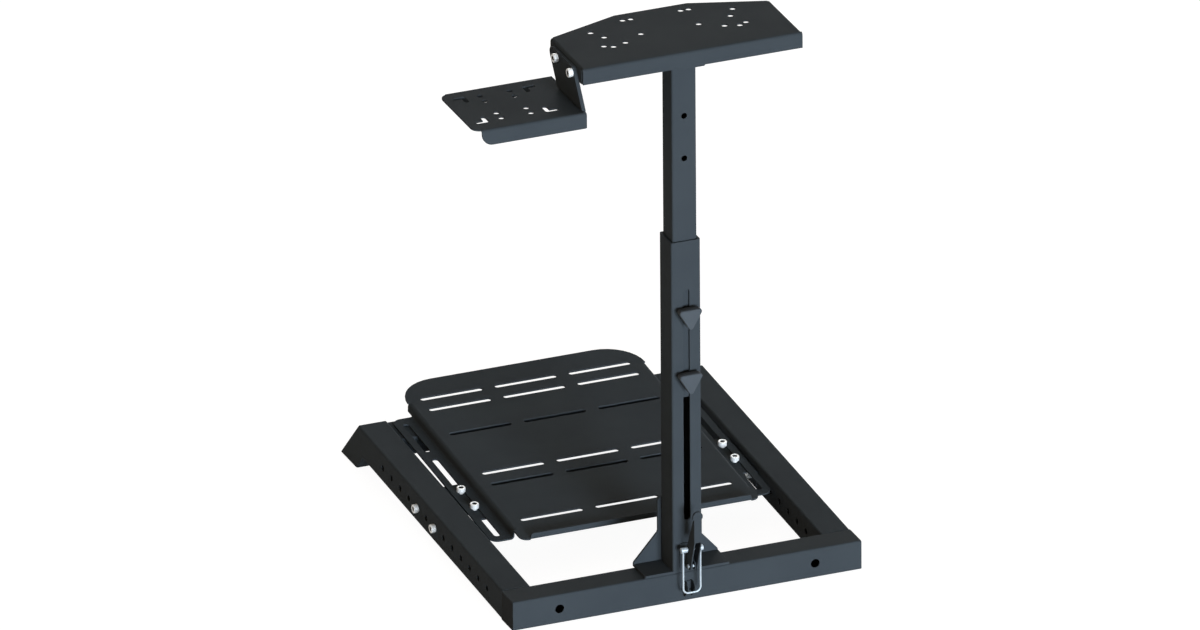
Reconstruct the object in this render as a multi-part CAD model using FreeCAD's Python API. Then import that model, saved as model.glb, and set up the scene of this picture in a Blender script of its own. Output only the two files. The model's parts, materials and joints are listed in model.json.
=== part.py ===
import FreeCAD, Part
import math
import os

# Racing wheel stand: a low welded base, a folding two-stage column and a wheel deck.
# Millimetres, +Z up, X along the cross-member, -Y towards the seat.
# The origin is on the floor, under the middle of the cross-member.

Vector = FreeCAD.Vector

# Base frame
TUBE = 40.0  # side of every square tube of the base and of the lower column
TUBE_RADIUS = 2.5  # outer corner of the square tubes
WALL = 2.0  # wall of the base tubes
BASE_WIDTH = 480.0  # cross-member, end to end
CAP_DEPTH = 12.0  # plug of a tube cap
FLAT_GAP = 0.3  # air between a loose piece and what it sits in
FRONT_HOLE = 12.0  # holes in the front of the cross-member
FRONT_HOLE_X = 176.0
RAIL_SLOPE = 0.045  # rise of the rails for each millimetre of run
REAR_TOP = 512.0  # where the top of a rail turns down into its rear leg
LEG_ANGLE = 45.0  # rear leg to the floor
RAIL_HOLE = 8.5  # side holes of the rails
RAIL_HOLES = 13
RAIL_HOLE_FIRST = 69.0  # nearest hole, measured along Y
RAIL_HOLE_PITCH = 29.75

# Pedal plate and the bars that it lies on
SHEET = 3.0  # thickness of all bent sheet
PEDAL_SLOPE = 0.0687  # rise of the pedal plate for each millimetre of run
PEDAL_SEAT_Y = 277.8  # middle of the pedal bar
PEDAL_SEAT_Z = 42.6  # top of the pedal bar at its middle
PEDAL_WIDTH = 330.0  # raised part of the pedal plate
PEDAL_RISE = 11.85  # top of the plate above the top of its flanges
FLANGE = 30.0  # width of a flange beside the raised part
PEDAL_NEAR = 153.0  # front face of the near lip
PEDAL_FAR = 580.0
FLANGE_NEAR = 165.0
FLANGE_FAR = 511.5
PEDAL_CORNER = 52.0  # far corners of the plate
LIP_WIDTH = 312.0
LIP_DROP = 12.5  # near lip, below the top of the plate
LIP_BEND = 8.0
BEND = 5.0  # outer radius of the other bends
SLOT_ROWS = (187.0, 287.5, 319.0, 431.0, 501.5, 531.5)
SLOT_PITCH = 103.0
SLOT_LENGTH = 86.0
SLOT_WIDTH = 6.0
FLANGE_SLOT_WIDTH = 8.0
FLANGE_SLOTS = ((177.0, 396.0), (417.0, 496.0))
PEDAL_BAR_DEPTH = 97.0
PEDAL_BAR_HEIGHT = 22.6
FLANGE_BOLT_PITCH = 46.0
REAR_BAR_DEPTH = 50.0
REAR_BAR_HEIGHT = 25.0
REAR_BAR_Y = 489.5  # middle of the rear bar
BOLT_HOLE = 8.6  # clearance hole for the cap bolts

# Lower column and its foot
FOOT_TOP = 44.0
FOOT_GAP = 0.6  # air under the foot plate
FOOT_WIDTH = 116.0
COLUMN_WALL = 3.0
COLUMN_TOP = 502.5
SLIDE_SLOT = 9.0
SLIDE_SLOT_LOW = 113.0
SLIDE_SLOT_HIGH = 436.0
BACK_PLATE_HALF = 24.5  # half width of the back plate beside the column
BACK_PLATE_SHOULDER = 84.0  # height where the back plate starts to spread
BACK_PLATE_TOP = 132.0

# Fold hinge behind the foot
HINGE_Y = 29.0
HINGE_Z = 43.0
KNUCKLE = 10.0  # outer diameter of the knuckles
HINGE_PIN = 5.0
PIN_CLEARANCE = 0.05  # radial air between a pin and its bore
KNUCKLE_GAP = 0.5
MIDDLE_KNUCKLE = 30.0
END_KNUCKLE = 20.0
LEAF = 2.5

# Upper column, wheel deck and shifter bracket
INNER_TUBE = 33.4
INNER_WALL = 2.0
INNER_BOTTOM = 284.0
CLAMP_HEIGHTS = (313.0, 403.0)  # lower and upper clamp screws
SPARE_HOLE_DROPS = (161.0, 102.0)  # spare holes below the top of the deck
SPARE_HOLE = 8.0
DECK_TOP = 777.3
DECK_WIDTH = 301.0
DECK_FRONT = -47.6
DECK_BACK = 94.7
DECK_BEVEL_X = 101.0
DECK_BEVEL_Y = 34.0
DECK_CORNER = 8.0  # corners where the bevels meet the back edge
DECK_LIP = 21.0
DECK_BEND = 4.0
DECK_HOLE = 7.0
DECK_HOLES = ((97.0, 57.0), (86.3, 38.0), (97.0, 12.3), (86.3, 6.5))
DECK_HOLES = DECK_HOLES + ((67.7, 12.3), (39.5, 29.7), (45.1, 77.4), (34.2, 77.4))
SUPPORT_WIDTH = 35.0
SUPPORT_BACK = 60.0
SUPPORT_WALL = 2.0
SUPPORT_DROP = 24.0  # underside of the support below the top of the deck
SHIFTER_DROP = 53.5  # top of the shifter plate below the top of the deck
SHIFTER_WIDTH = 152.0
SHIFTER_FRONT = -61.5
SHIFTER_BACK = 65.5
SHIFTER_CORNER = 12.0
LIP_CORNER = 15.0
UPRIGHT_GAP = 4.0  # top of the upright below the top of the deck
UPRIGHT_CORNER = 8.0
SHIFTER_LIP = 21.0
SHIFTER_LIP_INSET = 9.5  # left end of the front lip from the left edge of the plate
UPRIGHT_BACK = 26.5  # back edge of the upright where it leaves the plate
UPRIGHT_LEAN = 32.0  # how far the upright leans back over its height
SHIFTER_BOLTS = (-24.0, 25.7)  # bolts through the side of the deck
SHIFTER_PATTERN_X = 84.5  # middle of the shifter hole pattern from the side of the deck
SHIFTER_PATTERN_Y = 4.0
SHIFTER_HOLE = 6.5
SHIFTER_HOLE_X = 20.2
SHIFTER_HOLE_Y = (19.4, 36.0)
CORNER_SLOT_X = 41.8
CORNER_SLOT_Y = 38.8
CORNER_SLOT_ARM = 11.0
CORNER_SLOT_WIDTH = 5.5

# Clamp screws
SCREW = 8.0
KNOB_RADIUS = 20.0  # centre of the knob to the sharp corners of its triangle
KNOB_CORNER = 3.5
KNOB_FACE = 33.5  # front of the knob, in front of the column axis
KNOB_THICK = 11.0
KNOB_BOSS = 16.0
NUT = 13.0
NUT_THICK = 7.0

# Draw latch: lever, bail and keeper
PIVOT_Y = -37.0  # lever pivot
PIVOT_Z = 56.0
BAIL_PIN_Y = -34.5
BAIL_PIN_Z = 78.5
LATCH_PIN = 4.0
LEVER_WIDTH = 10.4
LEVER_SHEET = 1.6
LEVER_FRONT = -56.0
LEVER_HEEL = 96.0  # lower edge of the lever's front web
LEVER_END_Z = 132.4
LEVER_END = 13.4  # diameter of the round end
BRACKET_WIDTH = 22.0
BRACKET_LOW = 46.0
BRACKET_HIGH = 82.0
EAR_INSIDE = 1.6
EAR = 1.5
WIRE = 3.0  # wire of the bail
BAIL_HALF = 12.2  # bail leg to the middle
BAIL_BOTTOM = 17.6
BAIL_CORNER = 7.0
TRUNNION = 8.0
TRUNNION_INSIDE = 6.2
TRUNNION_OUTSIDE = 14.0
KEEPER_WIDTH = 11.2
KEEPER_SHEET = 1.6
KEEPER_TOP = 29.0
KEEPER_LOW = 7.0
HOOK_GAP = 0.65  # air above the wire under the hook

# Sizes that follow from those above
HALF = TUBE / 2.0
RAIL_X = BASE_WIDTH / 2.0 - HALF
RAIL_ANGLE = math.degrees(math.atan(RAIL_SLOPE))
REAR_TOP_Z = TUBE + RAIL_SLOPE * (REAR_TOP - HALF)
PEDAL_ANGLE = math.degrees(math.atan(PEDAL_SLOPE))
RAIL_INSIDE = RAIL_X - HALF
FLANGE_MIDDLE = PEDAL_WIDTH / 2.0 + FLANGE / 2.0 + 0.5
DECK_LOW = DECK_TOP - SHEET
DECK_HALF = DECK_WIDTH / 2.0
SHIFTER_TOP = DECK_TOP - SHIFTER_DROP
SIDE_BOLT_Z = DECK_TOP - DECK_LIP / 2.0 - 1.0


def shaped_wire(corners, place):
    """Closed wire through corners given as (u, v, radius); place turns (u, v) into a point."""
    edges = []
    starts = []
    ends = []
    count = len(corners)
    for i in range(count):
        u, v, radius = corners[i]
        before = corners[i - 1]
        after = corners[(i + 1) % count]
        if radius <= 0:
            starts.append((u, v))
            ends.append((u, v))
            continue
        back = (before[0] - u, before[1] - v)
        ahead = (after[0] - u, after[1] - v)
        back_length = math.hypot(back[0], back[1])
        ahead_length = math.hypot(ahead[0], ahead[1])
        back = (back[0] / back_length, back[1] / back_length)
        ahead = (ahead[0] / ahead_length, ahead[1] / ahead_length)
        half_angle = math.acos(back[0] * ahead[0] + back[1] * ahead[1]) / 2.0
        setback = radius / math.tan(half_angle)
        start = (u + back[0] * setback, v + back[1] * setback)
        end = (u + ahead[0] * setback, v + ahead[1] * setback)
        toward = (back[0] + ahead[0], back[1] + ahead[1])
        toward_length = math.hypot(toward[0], toward[1])
        reach = radius / math.sin(half_angle) - radius
        middle = (u + toward[0] / toward_length * reach, v + toward[1] / toward_length * reach)
        starts.append(start)
        ends.append(end)
        edges.append(Part.Arc(place(*start), place(*middle), place(*end)).toShape())
    for i in range(count):
        a = place(*ends[i])
        b = place(*starts[(i + 1) % count])
        if a.distanceToPoint(b) > 1e-6:
            edges.append(Part.LineSegment(a, b).toShape())
    return Part.Wire(Part.__sortEdges__(edges))


def slab_z(corners, low, high):
    """Flat shape with an outline in X and Y."""
    wire = shaped_wire(corners, lambda u, v: Vector(u, v, low))
    return Part.Face(wire).extrude(Vector(0, 0, high - low))


def slab_x(corners, low, high):
    """Flat shape with an outline in Y and Z."""
    wire = shaped_wire(corners, lambda u, v: Vector(low, u, v))
    return Part.Face(wire).extrude(Vector(high - low, 0, 0))


def slab_y(corners, low, high):
    """Flat shape with an outline in X and Z."""
    wire = shaped_wire(corners, lambda u, v: Vector(u, low, v))
    return Part.Face(wire).extrude(Vector(0, high - low, 0))


def block(x0, x1, y0, y1, z0, z1):
    return Part.makeBox(x1 - x0, y1 - y0, z1 - z0, Vector(x0, y0, z0))


def rod(x, y, z, radius, length, direction):
    return Part.makeCylinder(radius, length, Vector(x, y, z), Vector(*direction))


def join(shapes):
    """One solid from shapes that touch or overlap."""
    whole = shapes[0].multiFuse(shapes[1:]).removeSplitter()
    if whole.ShapeType == "Compound" and len(whole.Solids) == 1:
        return whole.Solids[0]
    return whole


def rectangle(u, v, half_u, half_v, radius):
    return (
        (u - half_u, v - half_v, radius),
        (u + half_u, v - half_v, radius),
        (u + half_u, v + half_v, radius),
        (u - half_u, v + half_v, radius),
    )


def slot_z(x, y, length, width, low, high, along_x):
    """Cutter for a slot with round ends, seen from above."""
    half_x = length / 2.0 if along_x else width / 2.0
    half_y = width / 2.0 if along_x else length / 2.0
    return slab_z(rectangle(x, y, half_x, half_y, width / 2.0 - 0.001), low, high)


def square_tube(length, side, wall, radius):
    """Square tube along +Y from the origin, centred on it."""
    outer = slab_y(rectangle(0, 0, side / 2.0, side / 2.0, radius), 0, length)
    inside = side / 2.0 - wall
    bore_radius = max(radius - wall, 0.4)
    return outer.cut(slab_y(rectangle(0, 0, inside, inside, bore_radius), -1, length + 1))


def cut_beyond(shape, y, z, angle):
    """Removes what lies past a plane through (y, z); angle turns its outward side up from +Y."""
    size = 3000.0
    tool = Part.makeBox(size, size, size, Vector(-size / 2.0, 0, -size / 2.0))
    tool.rotate(Vector(0, 0, 0), Vector(1, 0, 0), angle)
    tool.translate(Vector(0, y, z))
    return shape.cut(tool)


def mirrored(shape):
    return shape.mirror(Vector(0, 0, 0), Vector(1, 0, 0))


def tilted(shape):
    """Turns a piece that was built level so that it lies in the pedal plate's plane."""
    moved = shape.copy()
    moved.rotate(Vector(0, PEDAL_SEAT_Y, PEDAL_SEAT_Z), Vector(1, 0, 0), PEDAL_ANGLE)
    return moved


def leg_foot():
    """Y where the top line of a rear leg meets the floor."""
    return REAR_TOP + REAR_TOP_Z / math.tan(math.radians(LEG_ANGLE))


def mitre():
    """Inner corner of the mitre between a rail and its leg, and the angle of its plane."""
    foot = leg_foot() - TUBE / math.sin(math.radians(LEG_ANGLE))
    leg_slope = math.tan(math.radians(LEG_ANGLE))
    y = (foot * leg_slope + RAIL_SLOPE * HALF) / (leg_slope + RAIL_SLOPE)
    z = RAIL_SLOPE * (y - HALF)
    lean = math.degrees(math.atan2(REAR_TOP - y, REAR_TOP_Z - z))
    return y, z, -lean


def make_cross_member():
    tube = square_tube(BASE_WIDTH, TUBE, WALL, TUBE_RADIUS)
    tube.rotate(Vector(0, 0, 0), Vector(0, 0, 1), -90)
    tube.translate(Vector(-BASE_WIDTH / 2.0, 0, HALF))
    for side in (-1, 1):
        hole = rod(side * FRONT_HOLE_X, -HALF - 1, HALF, FRONT_HOLE / 2.0, WALL + 2, (0, 1, 0))
        tube = tube.cut(hole)
    return tube


def make_end_cap():
    """Plastic plug in the right end of the cross-member, flush with it."""
    inside = HALF - WALL - FLAT_GAP
    end = BASE_WIDTH / 2.0
    plug = slab_x(rectangle(0, HALF, inside, inside, 1.0), end - CAP_DEPTH, end)
    hollow = slab_x(rectangle(0, HALF, inside - 2, inside - 2, 0.5), end - CAP_DEPTH - 1, end - 3)
    return plug.cut(hollow)


def make_rail():
    """Right rail, from the back of the cross-member to the mitre."""
    side = TUBE * math.cos(math.radians(RAIL_ANGLE))
    tube = square_tube(REAR_TOP + 100, side, WALL, TUBE_RADIUS)
    tube.translate(Vector(0, -40, 0))
    tube.rotate(Vector(0, 0, 0), Vector(1, 0, 0), RAIL_ANGLE)
    tube.translate(Vector(RAIL_X, HALF, HALF))
    tube = cut_beyond(tube, HALF, HALF, 180)
    y, z, lean = mitre()
    tube = cut_beyond(tube, y, z, lean)
    for i in range(RAIL_HOLES):
        hole_y = RAIL_HOLE_FIRST + i * RAIL_HOLE_PITCH
        hole_z = HALF + RAIL_SLOPE * (hole_y - HALF)
        tube = tube.cut(rod(RAIL_X - TUBE, hole_y, hole_z, RAIL_HOLE / 2.0, 2 * TUBE, (1, 0, 0)))
    return tube


def make_rear_leg():
    """Right rear leg, from the mitre down to the floor."""
    tube = square_tube(300, TUBE, WALL, TUBE_RADIUS)
    tube.translate(Vector(0, -150, -HALF))
    tube.rotate(Vector(0, 0, 0), Vector(1, 0, 0), -LEG_ANGLE)
    tube.translate(Vector(RAIL_X, REAR_TOP, REAR_TOP_Z))
    y, z, lean = mitre()
    tube = cut_beyond(tube, y, z, lean + 180)
    return cut_beyond(tube, 0, 0, -90)


def make_rear_cross_bar():
    """Flat tube between the rails, under the far end of the pedal plate."""
    run = (REAR_BAR_Y - PEDAL_SEAT_Y) / math.cos(math.radians(PEDAL_ANGLE))
    middle_y = PEDAL_SEAT_Y + run
    middle_z = PEDAL_SEAT_Z - REAR_BAR_HEIGHT / 2.0
    half_y = REAR_BAR_DEPTH / 2.0
    half_z = REAR_BAR_HEIGHT / 2.0
    outer = slab_x(rectangle(middle_y, middle_z, half_y, half_z, 2.0), -RAIL_INSIDE, RAIL_INSIDE)
    bore = rectangle(middle_y, middle_z, half_y - WALL, half_z - WALL, 0.5)
    bar = outer.cut(slab_x(bore, -RAIL_INSIDE - 1, RAIL_INSIDE + 1))
    return tilted(bar)


def make_pedal_cross_bar():
    """Wide folded channel, open below, that is bolted between the rails."""
    half_y = PEDAL_BAR_DEPTH / 2.0
    low = PEDAL_SEAT_Z - PEDAL_BAR_HEIGHT
    end = RAIL_INSIDE
    outline = (
        (PEDAL_SEAT_Y - half_y, low, 0),
        (PEDAL_SEAT_Y + half_y, low, 0),
        (PEDAL_SEAT_Y + half_y, PEDAL_SEAT_Z, BEND),
        (PEDAL_SEAT_Y - half_y, PEDAL_SEAT_Z, BEND),
    )
    hollow = (
        (PEDAL_SEAT_Y - half_y + SHEET, low - 1, 0),
        (PEDAL_SEAT_Y + half_y - SHEET, low - 1, 0),
        (PEDAL_SEAT_Y + half_y - SHEET, PEDAL_SEAT_Z - SHEET, BEND - SHEET),
        (PEDAL_SEAT_Y - half_y + SHEET, PEDAL_SEAT_Z - SHEET, BEND - SHEET),
    )
    bar = slab_x(outline, -end, end).cut(slab_x(hollow, -end + SHEET, end - SHEET))
    for side in (-1, 1):
        for step in (-1, 1):
            y = PEDAL_SEAT_Y + step * FLANGE_BOLT_PITCH / 2.0
            hole = rod(side * FLANGE_MIDDLE, y, PEDAL_SEAT_Z - 10, BOLT_HOLE / 2.0, 12, (0, 0, 1))
            bar = bar.cut(hole)
    bar = tilted(bar)
    for index in (6, 8):
        y = RAIL_HOLE_FIRST + index * RAIL_HOLE_PITCH
        z = HALF + RAIL_SLOPE * (y - HALF)
        bar = bar.cut(rod(-end - 1, y, z, BOLT_HOLE / 2.0, 2 * end + 2, (1, 0, 0)))
    return bar


def hat_section(near, far):
    """Raised plate with a wall and an outward flange on each side, one folded sheet."""
    half = PEDAL_WIDTH / 2.0
    low = PEDAL_SEAT_Z
    flange_top = low + SHEET
    top = flange_top + PEDAL_RISE
    inside = BEND - SHEET
    outline = (
        (-half - FLANGE, flange_top, 0),
        (-half, flange_top, inside),
        (-half, top, BEND),
        (half, top, BEND),
        (half, flange_top, inside),
        (half + FLANGE, flange_top, 0),
        (half + FLANGE, low, 0),
        (half - SHEET, low, BEND),
        (half - SHEET, top - SHEET, inside),
        (-half + SHEET, top - SHEET, inside),
        (-half + SHEET, low, BEND),
        (-half - FLANGE, low, 0),
    )
    return slab_y(outline, near, far)


def make_pedal_plate():
    """Pedal plate: raised centre, near lip, far end, and its rows of slots."""
    half = PEDAL_WIDTH / 2.0
    top = PEDAL_SEAT_Z + SHEET + PEDAL_RISE
    outer = half + FLANGE
    hat = hat_section(FLANGE_NEAR, FLANGE_FAR)
    rounded = slab_z(rectangle(0, (FLANGE_NEAR + FLANGE_FAR) / 2.0, outer,
                               (FLANGE_FAR - FLANGE_NEAR) / 2.0, 12.0), 0, 200)
    hat = hat.common(rounded)
    far_outline = (
        (-half, FLANGE_FAR - 20, 0),
        (half, FLANGE_FAR - 20, 0),
        (half, PEDAL_FAR, PEDAL_CORNER),
        (-half, PEDAL_FAR, PEDAL_CORNER),
    )
    far_end = slab_z(far_outline, top - SHEET, top)
    near_section = (
        (PEDAL_NEAR, top - LIP_DROP, 0),
        (PEDAL_NEAR, top, LIP_BEND),
        (FLANGE_NEAR + 20, top, 0),
        (FLANGE_NEAR + 20, top - SHEET, 0),
        (PEDAL_NEAR + SHEET, top - SHEET, LIP_BEND - SHEET),
        (PEDAL_NEAR + SHEET, top - LIP_DROP, 0),
    )
    near_end = slab_x(near_section, -LIP_WIDTH / 2.0, LIP_WIDTH / 2.0)
    lip_shape = (
        (-LIP_WIDTH / 2.0, top - LIP_DROP, 6.0),
        (LIP_WIDTH / 2.0, top - LIP_DROP, 6.0),
        (LIP_WIDTH / 2.0, top + 10, 0),
        (-LIP_WIDTH / 2.0, top + 10, 0),
    )
    near_end = near_end.common(slab_y(lip_shape, PEDAL_NEAR - 5, FLANGE_NEAR + 30))
    plate = join([hat, far_end, near_end])
    cutters = []
    for y in SLOT_ROWS:
        for column in (-1, 0, 1):
            cutters.append(slot_z(column * SLOT_PITCH, y, SLOT_LENGTH, SLOT_WIDTH,
                                  top - 10, top + 10, True))
    for side in (-1, 1):
        for near, far in FLANGE_SLOTS:
            cutters.append(slot_z(side * FLANGE_MIDDLE, (near + far) / 2.0, far - near,
                                  FLANGE_SLOT_WIDTH, PEDAL_SEAT_Z - 5, PEDAL_SEAT_Z + 8, False))
    return tilted(plate.cut(Part.makeCompound(cutters)))


def make_outer_tube():
    """Lower stage of the column, with the slot for the clamp screws in its front."""
    tube = square_tube(COLUMN_TOP - FOOT_TOP, TUBE, COLUMN_WALL, TUBE_RADIUS)
    tube.rotate(Vector(0, 0, 0), Vector(1, 0, 0), 90)
    tube.translate(Vector(0, 0, FOOT_TOP))
    middle = (SLIDE_SLOT_LOW + SLIDE_SLOT_HIGH) / 2.0
    half_length = (SLIDE_SLOT_HIGH - SLIDE_SLOT_LOW) / 2.0
    corners = rectangle(0, middle, SLIDE_SLOT / 2.0, half_length, SLIDE_SLOT / 2.0 - 0.001)
    return tube.cut(slab_y(corners, -HALF - 1, -HALF + COLUMN_WALL + 1))


def make_foot_plate():
    half = FOOT_WIDTH / 2.0
    low = TUBE + FOOT_GAP
    outline = (
        (-half, -HALF, 2.0),
        (half, -HALF, 2.0),
        (half, HALF, 0),
        (-half, HALF, 0),
    )
    return slab_z(outline, low, FOOT_TOP)


def make_back_plate():
    """Plate welded behind the column, spread at its foot."""
    low = TUBE + FOOT_GAP
    half = FOOT_WIDTH / 2.0
    outline = (
        (-half, low, 0),
        (half, low, 0),
        (half, FOOT_TOP + 2, 3.0),
        (BACK_PLATE_HALF, BACK_PLATE_SHOULDER, 4.0),
        (BACK_PLATE_HALF, BACK_PLATE_TOP, 6.0),
        (-BACK_PLATE_HALF, BACK_PLATE_TOP, 6.0),
        (-BACK_PLATE_HALF, BACK_PLATE_SHOULDER, 4.0),
        (-half, FOOT_TOP + 2, 3.0),
    )
    return slab_y(outline, HALF, HALF + SHEET)


def knuckle(x0, x1):
    """Ring of the hinge from x0 to x1."""
    return rod(x0, HINGE_Y, HINGE_Z, KNUCKLE / 2.0, x1 - x0, (1, 0, 0))


def hinge_bore():
    radius = HINGE_PIN / 2.0 + PIN_CLEARANCE
    return rod(-100, HINGE_Y, HINGE_Z, radius, 200, (1, 0, 0))


def make_base_hinge_leaf():
    """Leaf on the back of the cross-member, with the two end knuckles."""
    inner = MIDDLE_KNUCKLE / 2.0 + KNUCKLE_GAP
    outer = inner + END_KNUCKLE
    leaf = block(-outer, outer, HALF, HALF + LEAF, 8, TUBE - TUBE_RADIUS)
    pieces = [leaf]
    for x0 in (-outer, inner):
        x1 = x0 + END_KNUCKLE
        pieces.append(knuckle(x0, x1))
        pieces.append(block(x0, x1, HALF + 0.5, HINGE_Y + 4, TUBE - 8, TUBE - 0.2))
    return join(pieces).cut(hinge_bore())


def make_column_hinge_leaf():
    """Leaf on the back plate, with the middle knuckle."""
    half = MIDDLE_KNUCKLE / 2.0
    front = HALF + SHEET
    leaf = block(-24, 24, front, front + LEAF, HINGE_Z + 8, BACK_PLATE_SHOULDER)
    root = block(-half, half, front, HINGE_Y, HINGE_Z, HINGE_Z + 12)
    return join([leaf, root, knuckle(-half, half)]).cut(hinge_bore())


def make_hinge_pin():
    end = MIDDLE_KNUCKLE / 2.0 + KNUCKLE_GAP + END_KNUCKLE
    pin = rod(-end, HINGE_Y, HINGE_Z, HINGE_PIN / 2.0, 2 * end, (1, 0, 0))
    heads = [pin]
    for x in (-end - 1.5, end):
        heads.append(rod(x, HINGE_Y, HINGE_Z, HINGE_PIN / 2.0 + 1.2, 1.5, (1, 0, 0)))
    return join(heads)


def make_inner_tube():
    """Upper stage of the column."""
    top = DECK_TOP - SUPPORT_DROP
    tube = square_tube(top - INNER_BOTTOM, INNER_TUBE, INNER_WALL, TUBE_RADIUS)
    tube.rotate(Vector(0, 0, 0), Vector(1, 0, 0), 90)
    tube.translate(Vector(0, 0, INNER_BOTTOM))
    front = -INNER_TUBE / 2.0 - 1
    for z in CLAMP_HEIGHTS:
        tube = tube.cut(rod(0, front, z, SCREW / 2.0 + 0.5, INNER_WALL + 2, (0, 1, 0)))
    for drop in SPARE_HOLE_DROPS:
        hole = rod(0, front, DECK_TOP - drop, SPARE_HOLE / 2.0, INNER_WALL + 2, (0, 1, 0))
        tube = tube.cut(hole)
    return tube


def make_deck_support():
    """Short flat tube on top of the column that carries the deck."""
    low = DECK_TOP - SUPPORT_DROP
    middle = (low + DECK_LOW) / 2.0
    half_x = SUPPORT_WIDTH / 2.0
    half_z = (DECK_LOW - low) / 2.0
    front = DECK_FRONT + SHEET
    outer = slab_y(rectangle(0, middle, half_x, half_z, 1.5), front, SUPPORT_BACK)
    inner = rectangle(0, middle, half_x - SUPPORT_WALL, half_z - SUPPORT_WALL, 0.5)
    return outer.cut(slab_y(inner, front - 1, SUPPORT_BACK + 1))


def make_wheel_deck():
    """Deck: one sheet with a front lip and two side lips."""
    half = DECK_HALF
    bevel = DECK_BACK - DECK_BEVEL_Y
    flat_half = half - DECK_BEND
    outline = (
        (-flat_half, DECK_FRONT + DECK_BEND, 0),
        (flat_half, DECK_FRONT + DECK_BEND, 0),
        (flat_half, bevel + 1.3, 0),
        (half - DECK_BEVEL_X, DECK_BACK, DECK_CORNER),
        (-half + DECK_BEVEL_X, DECK_BACK, DECK_CORNER),
        (-flat_half, bevel + 1.3, 0),
    )
    top = slab_z(outline, DECK_LOW, DECK_TOP)
    inside = DECK_BEND - SHEET
    front_section = (
        (DECK_FRONT, DECK_TOP - DECK_LIP, 0),
        (DECK_FRONT, DECK_TOP, DECK_BEND),
        (DECK_FRONT + DECK_BEND + 2, DECK_TOP, 0),
        (DECK_FRONT + DECK_BEND + 2, DECK_LOW, 0),
        (DECK_FRONT + SHEET, DECK_LOW, inside),
        (DECK_FRONT + SHEET, DECK_TOP - DECK_LIP, 0),
    )
    front = slab_x(front_section, -half + 0.6, half - 0.6)
    side_section = (
        (half, DECK_TOP - DECK_LIP, 0),
        (half, DECK_TOP, DECK_BEND),
        (half - DECK_BEND - 2, DECK_TOP, 0),
        (half - DECK_BEND - 2, DECK_LOW, 0),
        (half - SHEET, DECK_LOW, inside),
        (half - SHEET, DECK_TOP - DECK_LIP, 0),
    )
    side = slab_y(side_section, DECK_FRONT + DECK_BEND, bevel)
    deck = join([top, front, side, mirrored(side)])
    cutters = []
    for x, y in DECK_HOLES:
        for sign in (-1, 1):
            cutters.append(rod(sign * x, y, DECK_LOW - 5, DECK_HOLE / 2.0, 15, (0, 0, 1)))
    for y in SHIFTER_BOLTS:
        for side in (-1, 1):
            start = side * (half - DECK_BEND)
            cutters.append(rod(start, y, SIDE_BOLT_Z, BOLT_HOLE / 2.0, 10, (side, 0, 0)))
    return deck.cut(Part.makeCompound(cutters))


def shifter_pattern():
    """Middle of the hole pattern of the shifter plate."""
    return -DECK_HALF - SHIFTER_PATTERN_X, SHIFTER_PATTERN_Y


def corner_slots():
    """Cutters for the four L-shaped slots of the shifter plate."""
    middle_x, middle_y = shifter_pattern()
    arm = CORNER_SLOT_ARM
    width = CORNER_SLOT_WIDTH
    low = SHIFTER_TOP - 10
    high = SHIFTER_TOP + 10
    cutters = []
    for side in (-1, 1):
        for end in (-1, 1):
            x = middle_x + side * CORNER_SLOT_X
            y = middle_y + end * CORNER_SLOT_Y
            cutters.append(slot_z(x + side * arm / 2.0, y, arm + width, width, low, high, True))
            cutters.append(slot_z(x, y - end * arm / 2.0, arm + width, width, low, high, False))
    return cutters


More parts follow.
